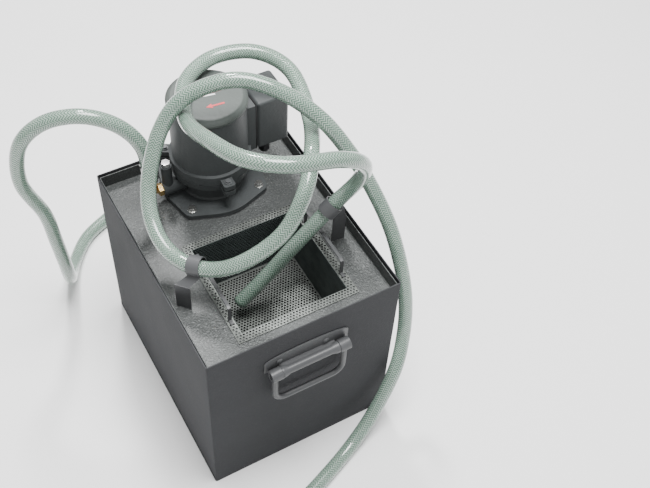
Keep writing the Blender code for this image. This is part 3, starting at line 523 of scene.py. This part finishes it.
# ---------------------------------------------------------------- strainer basket
def clip_to(polygon, low, high):
    """The part of a flat polygon of (x, y) inside a rectangle."""
    for axis in (0, 1):
        for limit, sign in ((low[axis], 1.0), (high[axis], -1.0)):
            kept = []
            for p, q in zip(polygon, polygon[1:] + polygon[:1]):
                dp, dq = (p[axis] - limit) * sign, (q[axis] - limit) * sign
                if dp >= 0.0:
                    kept.append(p)
                if (dp > 0.0 > dq) or (dp < 0.0 < dq):
                    t = dp / (dp - dq)
                    kept.append((p[0] + (q[0] - p[0]) * t, p[1] + (q[1] - p[1]) * t))
            polygon = kept
            if len(polygon) < 3:
                return []
    return polygon


def ring_of(centre, radius, count):
    """Points round a centre, from straight up and clockwise."""
    turns = [2 * math.pi * k / count for k in range(count)]
    return [(centre[0] + radius * math.sin(t), centre[1] + radius * math.cos(t)) for t in turns]


def cell_middles(low, high, lattice):
    """The middles of the staggered cells that reach into a rectangle."""
    first = math.floor((low[1] - lattice[1]) / ROW_RISE) - 1
    for j in range(first, math.ceil((high[1] - lattice[1]) / ROW_RISE) + 2):
        shift = lattice[0] + (j % 2) * PITCH / 2
        start = math.floor((low[0] - shift) / PITCH) - 1
        for i in range(start, math.ceil((high[0] - shift) / PITCH) + 2):
            yield shift + i * PITCH, lattice[1] + j * ROW_RISE


def perforate(bm, low, high, to_world, lattice=(0.0, 0.0)):
    """Fill a rectangle with staggered round holes: whole hexagonal cells get a hole, cut ones stay plain."""
    for middle in cell_middles(low, high, lattice):
        piece = clip_to(ring_of(middle, CELL_R, 6), low, high)
        if not piece:
            continue
        rim = [bm.verts.new(to_world(*p)) for p in piece]
        if not all(low[k] + EDGE_CLEAR <= middle[k] <= high[k] - EDGE_CLEAR for k in (0, 1)):
            bm.faces.new(rim)
            continue
        hole = [bm.verts.new(to_world(*p)) for p in ring_of(middle, HOLE_R, HOLE_SIDES)]
        bridge(bm, piece, rim, middle, hole)


def bridge(bm, piece, rim, centre, hole):
    """Faces between a convex outline and the round hole inside it, joined by angle."""
    def angle(p):
        return math.atan2(p[0] - centre[0], p[1] - centre[1]) % (2 * math.pi)

    count = len(hole)
    order = sorted(range(len(piece)), key=lambda k: angle(piece[k]))
    near = [round(angle(piece[k]) / (2 * math.pi) * count) % count for k in order]
    for n in range(len(order)):
        k, m = order[n], order[(n + 1) % len(order)]
        a, b = near[n], near[(n + 1) % len(order)]
        span = (b - a) % count
        arc = [hole[(a + s) % count] for s in range(span + 1)]
        face = [rim[m], rim[k]] + arc
        if len(set(face)) >= 3:
            bm.faces.new(face)


def finish_sheet(name, bm):
    """A flat mesh made into a piece with the sheet's thickness."""
    bmesh.ops.remove_doubles(bm, verts=bm.verts, dist=0.000005)
    bmesh.ops.recalc_face_normals(bm, faces=bm.faces)
    ob = mesh_object(name, bm)
    solid = ob.modifiers.new("sheet", "SOLIDIFY")
    solid.thickness = SHEET_T
    solid.offset = 0.0
    return ob


def make_basket():
    low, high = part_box("strainer_basket")
    half = SHEET_T / 2
    floor_z = low.z + half
    wall_x = (BASKET_X[0] - half, BASKET_X[1] + half)
    wall_y = (BASKET_Y[0] - half, BASKET_Y[1] + half)
    lip_z = high.z - half
    panels = {
        "floor": (lambda a, b: (a, b, floor_z), (wall_x[0], wall_y[0]), (wall_x[1], wall_y[1]), True),
        "front": (lambda a, b: (a, wall_y[0], b), (wall_x[0], floor_z), (wall_x[1], lip_z), True),
        "back": (lambda a, b: (a, wall_y[1], b), (wall_x[0], floor_z), (wall_x[1], lip_z), True),
        "left": (lambda a, b: (wall_x[0], a, b), (wall_y[0], floor_z), (wall_y[1], lip_z), False),
        "right": (lambda a, b: (wall_x[1], a, b), (wall_y[0], floor_z), (wall_y[1], lip_z), False),
    }
    for key, (to_world, lo, hi, holes) in panels.items():
        bm = bmesh.new()
        if holes:
            perforate(bm, lo, hi, to_world)
        else:
            corners = ((lo[0], lo[1]), (hi[0], lo[1]), (hi[0], hi[1]), (lo[0], hi[1]))
            bm.faces.new([bm.verts.new(to_world(*c)) for c in corners])
        panel = finish_sheet("basket_" + key, bm)
        # the floor takes the plain zinc, the walls take its darker copy as painted shade
        place(panel, "zinc" if key == "floor" else "shaded_zinc", "basket", "zinc_steel", "strainer_basket")
    bm = bmesh.new()
    strips = (
        ((low.x, low.y), (high.x, wall_y[0])),
        ((low.x, wall_y[1]), (high.x, high.y)),
        ((low.x, wall_y[0]), (wall_x[0], wall_y[1])),
        ((wall_x[1], wall_y[0]), (high.x, wall_y[1])),
    )
    for lo, hi in strips:
        wide, deep = hi[0] - lo[0], hi[1] - lo[1]
        rows = math.floor((deep - 2 * EDGE_CLEAR) / ROW_RISE)
        columns = math.floor((wide - 2 * EDGE_CLEAR) / (PITCH / 2))
        first = (lo[0] + (wide - columns * PITCH / 2) / 2, lo[1] + (deep - rows * ROW_RISE) / 2)
        perforate(bm, lo, hi, lambda a, b: (a, b, lip_z), first)
    lip = finish_sheet("basket_lip", bm)
    place(lip, "zinc", "basket", "zinc_steel")


make_basket()


# ---------------------------------------------------------------- carried-over nodes
LOOKS = {
    "grey": (("tank_shell", 0.0005), ("lid_ledge", 0.0), ("weir_plate", 0.0)),
    "motor": (("pump_bracket", 0.0007), ("motor_housing", 0.0006), ("outlet_boss", 0.0006),
              ("terminal_box_lid", 0.0)),
    "lid": (("lid_tray", 0.0005),),
    "cap": (("motor_cap", 0.0),),
    "zinc": (("inlet_screen", 0.0),),
    "strap": (("basket_handle_left", 0.0004), ("basket_handle_right", 0.0004), ("hose_clip_left", 0.0003),
              ("hose_clip_right", 0.0003), ("handle_plate", 0.0005), ("handle_bail", 0.0006),
              ("handle_rivet_1", 0.0003), ("handle_rivet_2", 0.0003)),
    "screw": tuple((f"pump_screw_{i}", 0.0005) for i in (1, 2, 3, 4))
    + (("terminal_screw_1", 0.0002), ("terminal_screw_2", 0.0002), ("drain_plug", 0.0005)),
    "dull": tuple((f"motor_bolt_{i}", 0.0004) for i in (1, 2, 3)),
    "chrome": (("priming_plug", 0.0005), ("delivery_hose_clamp", 0.0003)),
    "brass": (("outlet_elbow", 0.0003), ("impeller", 0.0), ("drain_plug_washer", 0.0002)),
    "rubber": (("pump_gasket", 0.0), ("terminal_gasket", 0.0), ("shaft_seal", 0.0)),
    "plastic": (("terminal_block", 0.0004), ("cable_gland", 0.0004)),
    "iron": (("pump_stem", 0.0006), ("pump_volute", 0.0008), ("lower_bearing_cup", 0.0),
             ("upper_bearing_plate", 0.0)),
    "steel": (("drain_socket", 0.0003), ("handle_pin", 0.0003), ("pump_shaft", 0.0003), ("rotor_core", 0.0),
              ("lower_bearing", 0.0), ("upper_bearing", 0.0)),
    "copper": (("stator_core", 0.0),),
}


def dress_all():
    for mat, entries in LOOKS.items():
        for node, bevel in entries:
            dress(node, mat, bevel)


dress_all()


# ---------------------------------------------------------------- marks on the motor's cap and a painted glint
def make_marks():
    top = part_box("motor_cap")[1].z + 0.00005

    def flat(name, outline, mat):
        bm = bmesh.new()
        face = bm.faces.new([bm.verts.new((x * MM, y * MM, top)) for x, y in outline])
        if face.normal.z < 0:
            bmesh.ops.reverse_faces(bm, faces=[face])
        grown = bmesh.ops.extrude_face_region(bm, geom=[face])
        verts = [v for v in grown["geom"] if isinstance(v, bmesh.types.BMVert)]
        bmesh.ops.translate(bm, verts=verts, vec=(0, 0, 0.00025))
        bmesh.ops.recalc_face_normals(bm, faces=bm.faces)
        place(mesh_object(name, bm), mat, "tank", "pale_paint")

    tip, tail = Vector((-4.0, 100.5)), Vector((23.0, 98.0))
    along = (tip - tail).normalized()
    across = Vector((-along.y, along.x))
    neck = tip - along * 9.0
    arrow = [tip, neck + across * 4.6, neck + across * 1.6, tail + across * 1.6, tail - across * 1.6,
             neck - across * 1.6, neck - across * 4.6]
    flat("rotation_mark", arrow, "mark")
    # painted highlight: a pale strip where a glint shows on the cap
    flat("glint_strip", [(2.0, 124.0), (2.0, 121.5), (19.0, 118.5), (19.0, 121.0)], "cap_glint")


make_marks()


# ---------------------------------------------------------------- floor and light
def make_floor():
    bm = bmesh.new()
    bmesh.ops.create_grid(bm, x_segments=1, y_segments=1, size=6.0)
    floor = mesh_object("floor", bm)
    floor.location.z = -0.0004
    bpy.context.scene.collection.objects.link(floor)
    n = Nodes("floor")
    n.set(Base_Color=(0.95, 0.95, 0.95), Roughness=0.8)
    floor.data.materials.append(n.mat)


def area_light(name, at, aim, size, power):
    data = bpy.data.lights.new(name, "AREA")
    data.shape = "DISK"
    data.size = size
    data.energy = power
    ob = bpy.data.objects.new(name, data)
    ob.location = at
    ob.rotation_euler = (Vector(at) - Vector(aim)).to_track_quat("Z", "Y").to_euler()
    bpy.context.scene.collection.objects.link(ob)


def make_light():
    world = bpy.data.worlds.new("studio")
    world.use_nodes = True
    background = world.node_tree.nodes["Background"]
    background.inputs["Color"].default_value = (1.0, 1.0, 1.0, 1.0)
    background.inputs["Strength"].default_value = 0.75
    bpy.context.scene.world = world
    area_light("overhead", (0.25, -0.15, 3.1), (0.0, 0.0, 0.2), 1.5, 170.0)
    area_light("window", (0.3, 1.3, 2.3), (0.0, 0.0, 0.35), 0.35, 45.0)


make_floor()
make_light()
